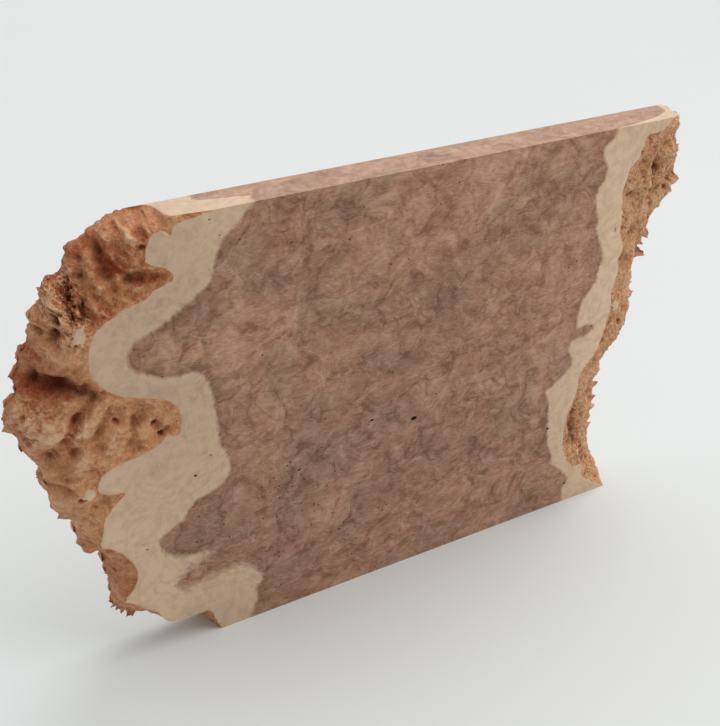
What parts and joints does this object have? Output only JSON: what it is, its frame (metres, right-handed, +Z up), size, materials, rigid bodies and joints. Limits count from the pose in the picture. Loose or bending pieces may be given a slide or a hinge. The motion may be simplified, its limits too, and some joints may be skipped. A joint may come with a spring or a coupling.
{
  "type": "mallee burl slab",
  "caption": "Board sawn from a mallee burl, with flat sawn faces and edges and the burl's own knobbly outside at both ends, for turning, knife scales or resin work",
  "frame": {"origin": "on the surface it stands on, under the middle of the slab's bounding box", "axes": "+X along the slab's length to the right as seen from the narrower sawn face, +Y through the thickness towards the wider sawn face, +Z up"},
  "size_m": [0.3786, 0.019, 0.24],
  "materials": {
    "burl_wood": "bandsawn and dry, unfinished; pinkish brown figured heartwood, cream sapwood, and rough orange-brown outside where the bark came away"
  },
  "bodies": {
    "root": {"burl_slab": "burl_wood"}
  },
  "joints": []
}
